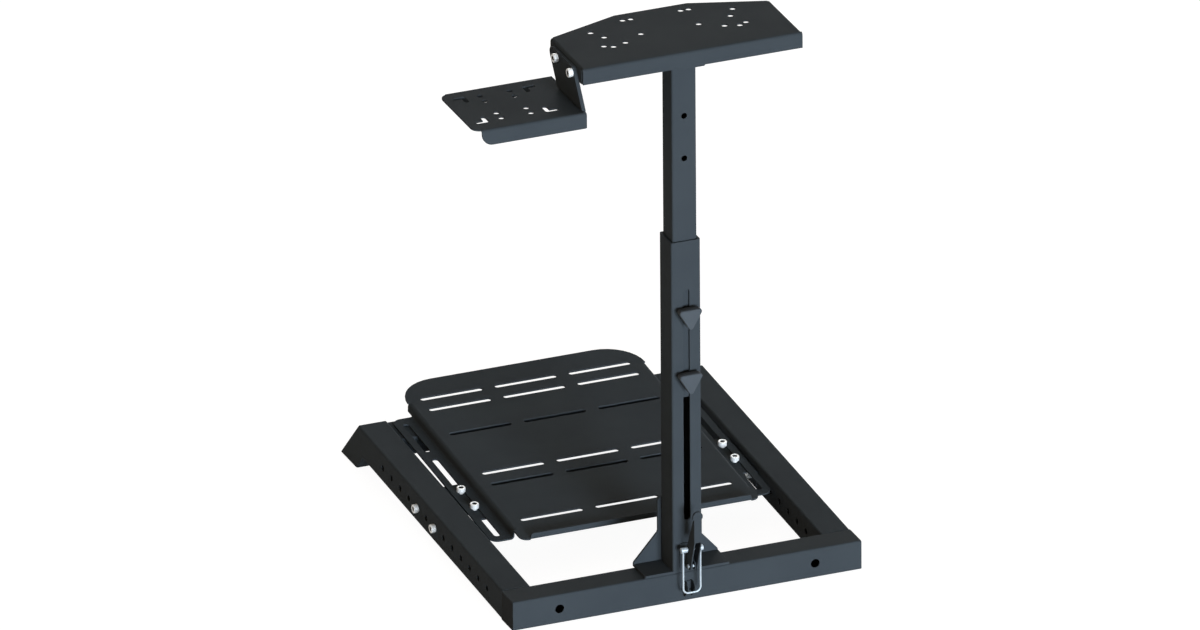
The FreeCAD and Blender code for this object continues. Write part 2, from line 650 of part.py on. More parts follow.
def make_shifter_bracket():
    """Shifter bracket: plate, front lip, and an upright bolted to the side of the deck."""
    right = -DECK_HALF
    left = right - SHIFTER_WIDTH
    low = SHIFTER_TOP - SHEET
    inside = DECK_BEND - SHEET
    foot_front = SHIFTER_FRONT + DECK_BEND
    foot_back = UPRIGHT_BACK
    relief = foot_back + SHEET / 2.0
    outline = (
        (left, foot_front, SHIFTER_CORNER),
        (left + SHIFTER_WIDTH / 2.0, foot_front, 0),
        (right - DECK_BEND, foot_front, 0),
        (right - DECK_BEND, relief, 0),
        (right + SHEET, relief, 1.0),
        (right + SHEET, SHIFTER_BACK, 2.0),
        (left, SHIFTER_BACK, SHIFTER_CORNER),
    )
    plate = slab_z(outline, low, SHIFTER_TOP)
    section = (
        (SHIFTER_FRONT, SHIFTER_TOP - SHIFTER_LIP, 0),
        (SHIFTER_FRONT, SHIFTER_TOP, DECK_BEND),
        (SHIFTER_FRONT + DECK_BEND + 2, SHIFTER_TOP, 0),
        (SHIFTER_FRONT + DECK_BEND + 2, low, 0),
        (SHIFTER_FRONT + SHEET, low, inside),
        (SHIFTER_FRONT + SHEET, SHIFTER_TOP - SHIFTER_LIP, 0),
    )
    lip = slab_x(section, left, right)
    lip_left = left + SHIFTER_LIP_INSET
    lip_shape = (
        (lip_left, SHIFTER_TOP - SHIFTER_LIP, LIP_CORNER),
        (right, SHIFTER_TOP - SHIFTER_LIP, 1.5),
        (right, SHIFTER_TOP + 5, 0),
        (lip_left, SHIFTER_TOP + 5, 0),
    )
    lip = lip.common(slab_y(lip_shape, SHIFTER_FRONT - 5, SHIFTER_FRONT + 30))
    bend = (
        (right - SHEET - DECK_BEND, low, 0),
        (right, low, DECK_BEND),
        (right, DECK_TOP, 0),
        (right - SHEET, DECK_TOP, 0),
        (right - SHEET, SHIFTER_TOP, inside),
        (right - SHEET - DECK_BEND, SHIFTER_TOP, 0),
    )
    high = DECK_TOP - UPRIGHT_GAP
    upright_shape = (
        (foot_front, low - 5, 0),
        (foot_back, low - 5, 0),
        (foot_back, SHIFTER_TOP + 2, 0),
        (foot_back + UPRIGHT_LEAN, high, UPRIGHT_CORNER),
        (foot_front + UPRIGHT_LEAN, high, UPRIGHT_CORNER),
        (foot_front, SHIFTER_TOP + 2, 0),
    )
    upright = slab_y(bend, foot_front - 50, foot_back + 50)
    upright = upright.common(slab_x(upright_shape, right - 30, right + 1))
    bracket = join([plate, lip, upright])
    middle_x, middle_y = shifter_pattern()
    cutters = corner_slots()
    for side in (-1, 1):
        for end in (-1, 1):
            for offset in SHIFTER_HOLE_Y:
                x = middle_x + side * SHIFTER_HOLE_X
                y = middle_y + end * offset
                cutters.append(rod(x, y, low - 5, SHIFTER_HOLE / 2.0, 15, (0, 0, 1)))
    for y in SHIFTER_BOLTS:
        cutters.append(rod(right - 10, y, SIDE_BOLT_Z, BOLT_HOLE / 2.0, 20, (1, 0, 0)))
    return bracket.cut(Part.makeCompound(cutters))


def make_clamp_nut(z):
    """Hexagon nut welded inside the upper stage."""
    reach = NUT / 2.0 / math.cos(math.radians(30))
    corners = []
    for i in range(6):
        angle = math.radians(60 * i)
        corners.append((reach * math.cos(angle), z + reach * math.sin(angle), 0))
    front = -INNER_TUBE / 2.0 + INNER_WALL
    nut = slab_y(corners, front, front + NUT_THICK)
    bore = rod(0, front - 1, z, SCREW / 2.0 + PIN_CLEARANCE, NUT_THICK + 2, (0, 1, 0))
    return nut.cut(bore)


def make_knob(z):
    """Three-cornered hand knob with one corner down."""
    corners = []
    for i in range(3):
        angle = math.radians(-90 + 120 * i)
        corners.append((KNOB_RADIUS * math.cos(angle), z + KNOB_RADIUS * math.sin(angle),
                        KNOB_CORNER))
    back = -KNOB_FACE + KNOB_THICK
    head = slab_y(corners, -KNOB_FACE, back)
    rim = []
    for edge in head.Edges:
        box = edge.BoundBox
        if box.YMax < -KNOB_FACE + 0.01:
            rim.append(edge)
    head = head.makeFillet(2.0, rim)
    boss = rod(0, back - 1, z, KNOB_BOSS / 2.0, -HALF - 0.4 - back + 1, (0, 1, 0))
    bore = rod(0, -KNOB_FACE + 4, z, SCREW / 2.0 + PIN_CLEARANCE, KNOB_FACE, (0, 1, 0))
    return join([head, boss]).cut(bore)


def make_clamp_screw(z):
    """Screw of a hand knob, through the slot and the upper stage into its nut."""
    start = -KNOB_FACE + 4.2
    end = -INNER_TUBE / 2.0 + INNER_WALL + NUT_THICK + 2
    return rod(0, start, z, SCREW / 2.0, end - start, (0, 1, 0))


def latch_bore(y, z):
    return rod(-50, y, z, LATCH_PIN / 2.0 + PIN_CLEARANCE, 100, (1, 0, 0))


def make_latch_bracket():
    """Plate on the front of the column with two ears for the lever pivot."""
    half = BRACKET_WIDTH / 2.0
    plate = slab_y(rectangle(0, (BRACKET_LOW + BRACKET_HIGH) / 2.0, half,
                             (BRACKET_HIGH - BRACKET_LOW) / 2.0, 3.0), -HALF - 2, -HALF)
    ear_shape = (
        (-HALF - 1, PIVOT_Z - 8, 0),
        (-HALF - 1, PIVOT_Z + 12, 0),
        (-HALF - 3, PIVOT_Z + 12, 2.0),
        (PIVOT_Y - 4.5, PIVOT_Z + 4.5, 4.4),
        (PIVOT_Y - 4.5, PIVOT_Z - 4.5, 4.4),
        (-HALF - 6, PIVOT_Z - 8, 2.0),
    )
    ear = slab_x(ear_shape, EAR_INSIDE, EAR_INSIDE + EAR)
    bracket = join([plate, ear, mirrored(ear)])
    return bracket.cut(latch_bore(PIVOT_Y, PIVOT_Z))


def make_latch_pivot_pin():
    end = LEVER_WIDTH / 2.0 + 0.4
    pin = rod(-end, PIVOT_Y, PIVOT_Z, LATCH_PIN / 2.0, 2 * end, (1, 0, 0))
    heads = [pin]
    for x in (-end - 1.0, end):
        heads.append(rod(x, PIVOT_Y, PIVOT_Z, LATCH_PIN / 2.0 + 1.0, 1.0, (1, 0, 0)))
    return join(heads)


def make_latch_lever():
    """Pressed channel lever: two cheeks, a front web and a round finger end."""
    half = LEVER_WIDTH / 2.0
    cheek_shape = (
        (PIVOT_Y - 4.6, PIVOT_Z - 4.6, 4.4),
        (LEVER_FRONT, LEVER_HEEL, 2.0),
        (LEVER_FRONT, LEVER_END_Z - 6, 0),
        (LEVER_FRONT + 4, LEVER_END_Z - 6, 0),
        (BAIL_PIN_Y + 4.4, BAIL_PIN_Z + 2.6, 4.0),
        (PIVOT_Y + 5.6, PIVOT_Z - 4.6, 4.4),
    )
    cheek = slab_x(cheek_shape, half - LEVER_SHEET, half)
    web_high = LEVER_END_Z - 4
    web = block(-half, half, LEVER_FRONT, LEVER_FRONT + LEVER_SHEET, LEVER_HEEL, web_high)
    end = rod(0, LEVER_FRONT, LEVER_END_Z, LEVER_END / 2.0, 3.0, (0, 1, 0))
    lever = join([cheek, mirrored(cheek), web, end])
    return lever.cut(latch_bore(PIVOT_Y, PIVOT_Z)).cut(latch_bore(BAIL_PIN_Y, BAIL_PIN_Z))


def make_latch_bail_pin():
    end = TRUNNION_OUTSIDE - 0.5
    return rod(-end, BAIL_PIN_Y, BAIL_PIN_Z, LATCH_PIN / 2.0, 2 * end, (1, 0, 0))


def make_latch_bail():
    """Wire loop with a sleeve on each end that turns on the bail pin."""
    y = BAIL_PIN_Y
    top = BAIL_PIN_Z - LATCH_PIN / 2.0 - PIN_CLEARANCE - 0.6
    turn = BAIL_BOTTOM + BAIL_CORNER
    inner = BAIL_HALF - BAIL_CORNER
    swing = BAIL_CORNER * math.sin(math.radians(45))
    points = [
        Vector(-BAIL_HALF, y, top),
        Vector(-BAIL_HALF, y, turn),
        Vector(-inner - swing, y, turn - swing),
        Vector(-inner, y, BAIL_BOTTOM),
        Vector(inner, y, BAIL_BOTTOM),
        Vector(inner + swing, y, turn - swing),
        Vector(BAIL_HALF, y, turn),
        Vector(BAIL_HALF, y, top),
    ]
    edges = [
        Part.LineSegment(points[0], points[1]).toShape(),
        Part.Arc(points[1], points[2], points[3]).toShape(),
        Part.LineSegment(points[3], points[4]).toShape(),
        Part.Arc(points[4], points[5], points[6]).toShape(),
        Part.LineSegment(points[6], points[7]).toShape(),
    ]
    profile = Part.Wire([Part.makeCircle(WIRE / 2.0, points[0], Vector(0, 0, -1))])
    loop = Part.Wire(edges).makePipeShell([profile], True, True)
    length = TRUNNION_OUTSIDE - TRUNNION_INSIDE
    pieces = [loop]
    for x in (-TRUNNION_OUTSIDE, TRUNNION_INSIDE):
        pieces.append(rod(x, y, BAIL_PIN_Z, TRUNNION / 2.0, length, (1, 0, 0)))
    return join(pieces).cut(latch_bore(BAIL_PIN_Y, BAIL_PIN_Z))


def make_latch_keeper():
    """Folded keeper on the cross-member: two hooks over the bail wire."""
    half = KEEPER_WIDTH / 2.0
    wire = WIRE / 2.0
    hook_low = BAIL_BOTTOM + wire + HOOK_GAP
    tip = BAIL_PIN_Y - 0.2
    root = BAIL_PIN_Y + wire + 0.5
    cheek_shape = (
        (-HALF, KEEPER_LOW, 0),
        (-HALF, KEEPER_TOP, 0),
        (tip + 5, KEEPER_TOP, 3.0),
        (tip, KEEPER_TOP - 4, 1.5),
        (tip, hook_low, 0),
        (root, hook_low, 0),
        (root, BAIL_BOTTOM - 2, 0),
        (-HALF - 2, KEEPER_LOW, 0),
    )
    cheek = slab_x(cheek_shape, half - KEEPER_SHEET, half)
    web = block(-half, half, -HALF - KEEPER_SHEET, -HALF, KEEPER_LOW + 1, KEEPER_TOP - 1)
    return join([cheek, mirrored(cheek), web])


def main():
    lower, upper = CLAMP_HEIGHTS
    rail = make_rail()
    leg = make_rear_leg()
    cap = make_end_cap()
    parts = {
        "cross_member": make_cross_member(),
        "right_end_cap": cap,
        "left_end_cap": mirrored(cap),
        "right_rail": rail,
        "left_rail": mirrored(rail),
        "right_rear_leg": leg,
        "left_rear_leg": mirrored(leg),
        "rear_cross_bar": make_rear_cross_bar(),
        "pedal_cross_bar": make_pedal_cross_bar(),
        "pedal_plate": make_pedal_plate(),
        "latch_keeper": make_latch_keeper(),
        "base_hinge_leaf": make_base_hinge_leaf(),
        "hinge_pin": make_hinge_pin(),
        "outer_tube": make_outer_tube(),
        "foot_plate": make_foot_plate(),
        "back_plate": make_back_plate(),
        "column_hinge_leaf": make_column_hinge_leaf(),
        "latch_bracket": make_latch_bracket(),
        "latch_pivot_pin": make_latch_pivot_pin(),
        "latch_lever": make_latch_lever(),
        "latch_bail_pin": make_latch_bail_pin(),
        "latch_bail": make_latch_bail(),
        "inner_tube": make_inner_tube(),
        "deck_support": make_deck_support(),
        "wheel_deck": make_wheel_deck(),
        "shifter_bracket": make_shifter_bracket(),
        "upper_clamp_nut": make_clamp_nut(upper),
        "lower_clamp_nut": make_clamp_nut(lower),
        "upper_knob": make_knob(upper),
        "lower_knob": make_knob(lower),
        "upper_clamp_screw": make_clamp_screw(upper),
        "lower_clamp_screw": make_clamp_screw(lower),
    }
    os.makedirs("parts", exist_ok=True)
    for name, shape in parts.items():
        shape.exportStep("parts/" + name + ".step")


main()
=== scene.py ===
import bmesh
import bpy
import json
import math
from mathutils import Matrix, Vector
from mathutils.geometry import tessellate_polygon


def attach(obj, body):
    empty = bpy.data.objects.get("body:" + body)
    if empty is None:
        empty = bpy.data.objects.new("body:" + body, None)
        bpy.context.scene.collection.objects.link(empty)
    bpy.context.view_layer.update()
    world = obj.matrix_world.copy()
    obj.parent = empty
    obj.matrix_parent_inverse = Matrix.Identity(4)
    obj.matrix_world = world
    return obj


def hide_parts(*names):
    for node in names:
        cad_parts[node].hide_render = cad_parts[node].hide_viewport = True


# Racing wheel stand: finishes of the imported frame, the folded sheet, knobs and bail that
# stand for seven of its nodes, the cap bolts, light, floor and camera.
# Metres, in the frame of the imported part; the sheet, knobs and bail are written in millimetres.

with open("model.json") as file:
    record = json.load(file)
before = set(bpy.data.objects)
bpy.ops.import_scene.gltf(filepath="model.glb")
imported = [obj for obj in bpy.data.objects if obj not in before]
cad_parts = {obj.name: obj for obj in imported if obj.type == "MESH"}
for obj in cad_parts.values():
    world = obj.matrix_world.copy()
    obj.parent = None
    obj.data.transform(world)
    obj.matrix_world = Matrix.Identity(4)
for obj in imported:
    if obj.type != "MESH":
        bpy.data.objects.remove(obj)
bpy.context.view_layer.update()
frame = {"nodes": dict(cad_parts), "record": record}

# Socket cap bolts; the heads are as wide as in the photograph, between those of M6 and M8
HEAD_RADIUS = 0.0058
HEAD_HEIGHT = 0.0061
HEAD_CHAMFER = 0.0006
KNURL_DEPTH = 0.00012
KNURLS = 32
SOCKET_RADIUS = 0.00346  # corner of a 6 mm hexagon
SOCKET_DEPTH = 0.0036
SHANK_RADIUS = 0.0039
THREAD_PITCH = 0.00125
THREAD_DEPTH = 0.0005
NUT_HEIGHT = 0.0065
NUT_RADIUS = 0.00751  # corner of a 13 mm hexagon
NUT_CHAMFER = 0.0008
SEAT_GAP = 0.00002
SOCKET_LIP = 0.0003
SOCKET_TIP = 0.0012
THREAD_PAST_NUT = 0.0010
THREAD_POINT = 0.0006
NUT_GAP = 0.00003
NUT_BORE_GAP = 0.0002

# Where the part has its bolts
UPRIGHT_OUTSIDE = 0.1555
UPRIGHT_GRIP = 0.007
SHEET = 0.002
SIDE_BOLT_Y = (-0.024, 0.0257)
SIDE_BOLT_Z = 0.7658
RAIL_OUTSIDE = 0.23998
RAIL_SLOPE = 0.045
RAIL_START = 0.020
BAR_INSIDE = 0.198
RAIL_BOLT_Y = (0.2475, 0.307)
FLANGE_BOLT_X = 0.181
FLANGE_BOLT_STEPS = {"left": (-0.020, 0.026), "right": (-0.016, 0.026)}
PEDAL_SEAT = Vector((0, 0.2778, 0.0436))
PEDAL_RISE = 0.0687
PEDAL_ANGLE = math.atan(PEDAL_RISE)


def node(tree, kind, **values):
    """New shader node; a name starting with in_ sets that input, the rest are properties."""
    made = tree.nodes.new(kind)
    for key, value in values.items():
        if key.startswith("in_"):
            made.inputs[key[3:].replace("_", " ")].default_value = value
        else:
            setattr(made, key, value)
    return made


def ramp(tree, source, low, high, colours):
    """Colour ramp between two colours over the range low to high of source."""
    made = node(tree, "ShaderNodeValToRGB")
    made.color_ramp.elements[0].position = low
    made.color_ramp.elements[1].position = high
    made.color_ramp.elements[0].color = (*colours[0], 1)
    made.color_ramp.elements[1].color = (*colours[1], 1)
    tree.links.new(source, made.inputs[0])
    return made.outputs[0]


def spread(tree, source, low, high):
    """Turns a 0 to 1 value into one from low to high."""
    made = node(tree, "ShaderNodeMapRange", in_To_Min=low, in_To_Max=high)
    tree.links.new(source, made.inputs["Value"])
    return made.outputs[0]


def noise(tree, place, scale, detail=3.0, stretch=None):
    """Noise in the object's own metres; stretch scales it along X, Y and Z."""
    if stretch is not None:
        mapping = node(tree, "ShaderNodeMapping", in_Scale=stretch)
        tree.links.new(place, mapping.inputs["Vector"])
        place = mapping.outputs[0]
    made = node(tree, "ShaderNodeTexNoise", in_Scale=scale, in_Detail=detail)
    tree.links.new(place, made.inputs["Vector"])
    return made.outputs[0]


def edge_mask(tree, radius):
    """1 on the outer edges of the sheet and tube, 0 on the flats."""
    bevel = node(tree, "ShaderNodeBevel", samples=4, in_Radius=radius)
    geometry = node(tree, "ShaderNodeNewGeometry")
    dot = node(tree, "ShaderNodeVectorMath", operation="DOT_PRODUCT")
    tree.links.new(bevel.outputs[0], dot.inputs[0])
    tree.links.new(geometry.outputs["True Normal"], dot.inputs[1])
    mask = node(tree, "ShaderNodeMapRange", in_From_Min=0.98, in_From_Max=0.80)
    tree.links.new(dot.outputs["Value"], mask.inputs["Value"])
    return mask.outputs[0], bevel.outputs[0]


def new_material(name):
    material = bpy.data.materials.new(name)
    material.use_nodes = True
    tree = material.node_tree
    tree.nodes.clear()
    shader = node(tree, "ShaderNodeBsdfPrincipled")
    out = node(tree, "ShaderNodeOutputMaterial")
    tree.links.new(shader.outputs[0], out.inputs[0])
    place = node(tree, "ShaderNodeTexCoord").outputs["Object"]
    return material, tree, shader, place


def bump(tree, height, strength, distance, normal=None):
    made = node(tree, "ShaderNodeBump", in_Strength=strength, in_Distance=distance)
    tree.links.new(height, made.inputs["Height"])
    if normal is not None:
        tree.links.new(normal, made.inputs["Normal"])
    return made.outputs[0]


def coated(name, dark, light, worn, rough, grain_scale, grain_height, specular):
    """Powder coat or moulded plastic: fine grain, soft cloudiness and rubbed edges."""
    material, tree, shader, place = new_material(name)
    clouds = noise(tree, place, 14.0)
    grain = noise(tree, place, grain_scale, 2.0)
    body = ramp(tree, clouds, 0.30, 0.70, (dark, light))
    mask, rounded = edge_mask(tree, 0.0006)
    rubbed = noise(tree, place, 55.0)
    wear = node(tree, "ShaderNodeMath", operation="MULTIPLY")
    tree.links.new(mask, wear.inputs[0])
    tree.links.new(spread(tree, rubbed, 0.0, 0.9), wear.inputs[1])
    mix = node(tree, "ShaderNodeMix", data_type="RGBA")
    tree.links.new(wear.outputs[0], mix.inputs[0])
    tree.links.new(body, mix.inputs[6])
    mix.inputs[7].default_value = (*worn, 1)
    tree.links.new(mix.outputs[2], shader.inputs["Base Color"])
    finish = spread(tree, noise(tree, place, 38.0), rough - 0.05, rough + 0.05)
    tree.links.new(finish, shader.inputs["Roughness"])
    tree.links.new(bump(tree, grain, 0.35, grain_height, rounded), shader.inputs["Normal"])
    shader.inputs["Specular IOR Level"].default_value = specular
    return material


def plated(name, dark, light, rough, brush, metal):
    """Zinc-plated steel with faint brushing along one direction."""
    material, tree, shader, place = new_material(name)
    streaks = noise(tree, place, 900.0, 3.0, brush)
    clouds = noise(tree, place, 120.0)
    body = ramp(tree, clouds, 0.25, 0.75, (dark, light))
    tree.links.new(body, shader.inputs["Base Color"])
    tree.links.new(spread(tree, streaks, rough - 0.08, rough + 0.08), shader.inputs["Roughness"])
    rounded = edge_mask(tree, 0.0003)[1]
    tree.links.new(bump(tree, streaks, 0.12, 0.0001, rounded), shader.inputs["Normal"])
    shader.inputs["Metallic"].default_value = metal
    return material


def lathe(mesh, profile, steps, place, knurl=0.0):
    """Turned shape from a profile of (radius, height) pairs; place is a matrix."""
    rings = []
    for radius, height in profile:
        ring = []
        for i in range(steps):
            angle = 2 * math.pi * i / steps
            r = radius - (knurl if i % 2 and radius > HEAD_RADIUS * 0.98 else 0.0)
            point = Vector((r * math.cos(angle), r * math.sin(angle), height))
            ring.append(mesh.verts.new(place @ point))
        rings.append(ring)
    for a, b in zip(rings, rings[1:]):
        for i in range(steps):
            j = (i + 1) % steps
            mesh.faces.new((a[i], a[j], b[j], b[i]))
    return rings


def cap(mesh, ring, flip=False):
    mesh.faces.new(list(reversed(ring)) if flip else ring)


def thread(mesh, start, length, place):
    """Threaded length of a screw: ridges along it, from start downwards."""
    turns = int(length / THREAD_PITCH)
    profile = []
    for i in range(turns + 1):
        z = start - i * THREAD_PITCH
        profile.append((SHANK_RADIUS, z))
        if i < turns:
            profile.append((SHANK_RADIUS - THREAD_DEPTH, z - THREAD_PITCH / 2))
    profile.append((SHANK_RADIUS - THREAD_DEPTH * 1.4, start - length - THREAD_POINT))
    rings = lathe(mesh, list(reversed(profile)), 24, place)
    cap(mesh, rings[0], True)
    cap(mesh, rings[-1])


def finish_piece(mesh, name, body, materials, replaced=None):
    """Turns the mesh into a piece of the visual model; replaced is the node that it stands for."""
    bmesh.ops.recalc_face_normals(mesh, faces=mesh.faces)
    data = bpy.data.meshes.new(name)
    mesh.to_mesh(data)
    mesh.free()
    data.set_sharp_from_angle(angle=math.radians(35))
    piece = bpy.data.objects.new(name, data)
    bpy.context.scene.collection.objects.link(piece)
    for material in materials:
        data.materials.append(material)
    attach(piece, body)
    if replaced is not None:
        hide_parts(replaced)


def hexagon(radius, height, steps=36):
    """Points of a hexagon, with extra points along its sides."""
    points = []
    inner = radius * math.cos(math.pi / 6)
    for i in range(steps):
        angle = 2 * math.pi * i / steps
        turn = (angle + math.pi / 6) % (math.pi / 3) - math.pi / 6
        r = inner / math.cos(turn)
        points.append(Vector((r * math.cos(angle), r * math.sin(angle), height)))
    return points


def bridge(mesh, a, b):
    for i in range(len(a)):
        j = (i + 1) % len(a)
        mesh.faces.new((a[i], a[j], b[j], b[i]))


def cap_bolt(name, origin, outward, grip, body):
    """Socket cap bolt seated at origin, its head along outward, its nut past the grip."""
    mesh = bmesh.new()
    turn = Vector((0, 0, 1)).rotation_difference(outward).to_matrix().to_4x4()
    place = Matrix.Translation(origin) @ turn
    steps = KNURLS * 2
    foot = HEAD_RADIUS - HEAD_CHAMFER / 2
    profile = [
        (SHANK_RADIUS, SEAT_GAP),
        (foot, SEAT_GAP),
        (HEAD_RADIUS, HEAD_CHAMFER / 2),
        (HEAD_RADIUS, HEAD_HEIGHT - HEAD_CHAMFER),
        (HEAD_RADIUS - HEAD_CHAMFER, HEAD_HEIGHT),
        (SOCKET_RADIUS * 1.25, HEAD_HEIGHT),
    ]
    rings = lathe(mesh, profile, steps, place, KNURL_DEPTH)
    low = HEAD_HEIGHT - SOCKET_DEPTH
    rim, lip, floor = [
        [mesh.verts.new(place @ p) for p in hexagon(radius, height, steps)]
        for radius, height in ((SOCKET_RADIUS * 1.06, HEAD_HEIGHT),
                               (SOCKET_RADIUS, HEAD_HEIGHT - SOCKET_LIP),
                               (SOCKET_RADIUS, low))
    ]
    bridge(mesh, rings[-1], rim)
    bridge(mesh, rim, lip)
    bridge(mesh, lip, floor)
    tip = mesh.verts.new(place @ Vector((0, 0, low - SOCKET_TIP)))
    for i in range(steps):
        mesh.faces.new((floor[i], floor[(i + 1) % steps], tip))
    cap(mesh, rings[0], True)
    thread(mesh, 0.0, grip + NUT_HEIGHT + THREAD_PAST_NUT, place)
    # Nut faces from here on get the darker, painted-shade copy of the zinc
    nut_start = len(mesh.faces)
    nut_top = -grip - NUT_GAP
    nut_low = nut_top - NUT_HEIGHT
    chamfer = NUT_RADIUS * math.cos(math.pi / 6)
    loops = []
    for height, round_off in ((nut_top, True), (nut_top - NUT_CHAMFER, False),
                              (nut_low + NUT_CHAMFER, False), (nut_low, True)):
        points = hexagon(NUT_RADIUS, height)
        if round_off:
            points = [Vector((p.x, p.y, 0)).normalized() * chamfer * 0.985 for p in points]
            points = [Vector((p.x, p.y, height)) for p in points]
        loops.append([mesh.verts.new(place @ p) for p in points])
    for a, b in zip(loops, loops[1:]):
        bridge(mesh, b, a)
    bore = SHANK_RADIUS + NUT_BORE_GAP
    hole = [Vector((p.x, p.y, 0)).normalized() * bore for p in hexagon(1, 0)]
    top = [mesh.verts.new(place @ Vector((p.x, p.y, nut_top))) for p in hole]
    bottom = [mesh.verts.new(place @ Vector((p.x, p.y, nut_low))) for p in hole]
    bridge(mesh, loops[0], top)
    bridge(mesh, top, bottom)
    bridge(mesh, bottom, loops[-1])
    # Socket faces get the painted shade of the recess
    socket = set(lip + floor + [tip])
    for i, face in enumerate(mesh.faces):
        if all(vertex in socket for vertex in face.verts):
            face.material_index = 1
        elif i >= nut_start:
            face.material_index = 2
    finish_piece(mesh, name, body, (BOLT_ZINC, SOCKET_PAINTED_SHADE, NUT_ZINC_PAINTED_SHADE))


BLACK_COAT = coated("black_powder_coat", (0.042, 0.050, 0.057), (0.047, 0.056, 0.063),
                    (0.085, 0.095, 0.105), 0.50, 900.0, 0.00025, 0.0025)
CAP_PLASTIC = coated("end_cap_plastic", (0.036, 0.040, 0.044), (0.041, 0.046, 0.050),
                     (0.070, 0.075, 0.080), 0.60, 1400.0, 0.00018, 0.003)
KNOB_PLASTIC = coated("knob_plastic", (0.066, 0.076, 0.086), (0.073, 0.084, 0.094),
                      (0.105, 0.117, 0.128), 0.50, 1200.0, 0.00015, 0.008)
BOLT_ZINC = plated("bolt_zinc", (0.78, 0.79, 0.78), (0.86, 0.87, 0.86), 0.42, (1, 1, 1), 0.25)
# Near-black socket material: painted shade of the deep hex recess; the real socket is the same zinc
# as the head
SOCKET_PAINTED_SHADE = plated("bolt_socket_painted_shade", (0.05, 0.05, 0.05), (0.08, 0.08, 0.08), 0.60, (1, 1, 1), 0.0)
# Darker copy of the bolt zinc for the nuts: painted shade of nuts under the sheet, not a different
# metal
NUT_ZINC_PAINTED_SHADE = plated("nut_zinc_painted_shade", (0.20, 0.22, 0.23), (0.26, 0.28, 0.29), 0.50, (1, 1, 1), 0.2)
BAIL_ZINC = plated("bail_zinc", (0.40, 0.46, 0.50), (0.48, 0.54, 0.58), 0.40, (1, 1, 0.06), 0.35)

FINISHES = {
    "black_powder_coat": BLACK_COAT,
    "end_cap_plastic": CAP_PLASTIC,
    "knob_plastic": KNOB_PLASTIC,
    "zinc_plate": BAIL_ZINC,
}

# Steps of a bend; ARC_STEPS is also the open side of a section that has no lip of its own
ARC_STEPS = 8
FLANGE_SEAM = 2 * ARC_STEPS + 1
JOIN_TOLERANCE = 0.01  # millimetres

# Folded sheet pieces, in millimetres
PLATE = 2.0  # thickness of the sheet
DECK_TOP = 777.3
DECK_HALF = 150.5
DECK_FRONT = -47.6
DECK_BACK = 94.7
DECK_BEVEL = (101.0, 34.0)
DECK_BEND = 4.0
DECK_LIP = 21.0
DECK_CORNER = 8.0
DECK_STEP = 1.3  # from the end of the side bend to the bevel
DECK_FRONT_GAP = 0.6
DECK_HOLE = 8.5
DECK_HOLES = ((97.0, 57.0), (86.3, 38.0), (97.0, 12.3), (86.3, 6.5),
              (67.7, 12.3), (39.5, 29.7), (45.1, 77.4), (34.2, 77.4))
SIDE_HOLES = ((-24.0, 765.8), (25.7, 765.8))
BOLT_HOLE = 8.6
SHIFTER_TOP = 723.8
SHIFTER_LEFT = -302.5
SHIFTER_FRONT = -61.5
SHIFTER_BACK = 65.5
SHIFTER_MIDDLE = (-235.0, 4.0)
SHIFTER_HOLE = 8.0
SHIFTER_HOLE_X = 20.2
SHIFTER_HOLE_STEPS = (19.4, 36.0)
SHIFTER_SLOT = (41.8, 38.8)  # corner of each L-shaped slot from the middle
SHIFTER_SLOT_ARM = 11.0
SHIFTER_SLOT_WIDTH = 6.5
SHIFTER_CORNER = 12.0
SHIFTER_LIP = 21.0
LIP_CORNERS = (15.0, 1.5)
UPRIGHT_CORNER = 8.0
UPRIGHT_BACK = 26.5
UPRIGHT_LEAN = 32.0
UPRIGHT_TOP = 773.3
UPRIGHT_THICK = 5.0
LIP_LEFT = -293.0
BAR_HALF = 200.0
BAR_NEAR = 229.3
BAR_FAR = 326.3
BAR_TOP = 43.6
BAR_EAR = 22.6
BAR_NOTCH = (10.0, 22.7)
PEDAL_BEND = 5.0
PEDAL_HALF = 165.0
PEDAL_TOP = 57.45
PEDAL_NEAR = 136.0
PEDAL_FAR = 580.0
NEAR_CORNER = 11.0
HEEL_HALF = 152.5
HEEL_TOP = 64.3
HEEL_BEND = 3.0
HEEL_CORNER = 3.0
WALL_FAR = 527.5
FLANGE_NEAR = 165.0
FLANGE_FAR = 511.5
FLANGE_EDGE = 194.5
FLANGE_DROP = 11.85
FLANGE_SLOT_X = 181.0
FLANGE_SLOTS = ((177.0, 396.0), (417.0, 496.0))
SLOT_ROWS = (187.0, 287.5, 319.0, 431.0, 501.5, 531.5)
SLOT_PITCH = 103.0
SLOT_LENGTH = 86.0
SLOT_WIDTH = 8.0
FLANGE_SLOT_WIDTH = 8.2
FLANGE_CORNER = 12.0
FAR_CORNER = 52.0

# Hand knobs and bail, in millimetres
KNOB_HEIGHTS = {"lower": 313.0, "upper": 403.0}
KNOB_RADIUS = 20.5
KNOB_CORNER = 3.5
KNOB_FACE = 37.5
KNOB_BACK = -26.5
KNOB_EDGE = 1.6
KNOB_BOSS = 8.0
KNOB_FOOT = 20.4
KNOB_CHAMFER = 0.5
BAIL_Y = -34.5
BAIL_Z = 78.5
BAIL_HALF = 11.8
BAIL_TOP = 75.6
BAIL_LOW = 17.6
BAIL_CORNER = 7.0
WIRE_RADIUS = 1.25
SLEEVE_ENDS = (6.2, 15.0)
SLEEVE_RADIUS = 3.7
SLEEVE_BORE = 2.05


def plan(u, v, w, tilt=False):
    """Matrix from millimetres along three axes to metres, tilted with the pedal plate or not."""
    axes = Matrix((u, v, w)).transposed().to_4x4() * 0.001
    axes[3][3] = 1.0
    if tilt:
        seat = Matrix.Translation(PEDAL_SEAT)
        return seat @ Matrix.Rotation(PEDAL_ANGLE, 4, "X") @ seat.inverted() @ axes
    return axes


X = Vector((1, 0, 0))
Y = Vector((0, 1, 0))
Z = Vector((0, 0, 1))


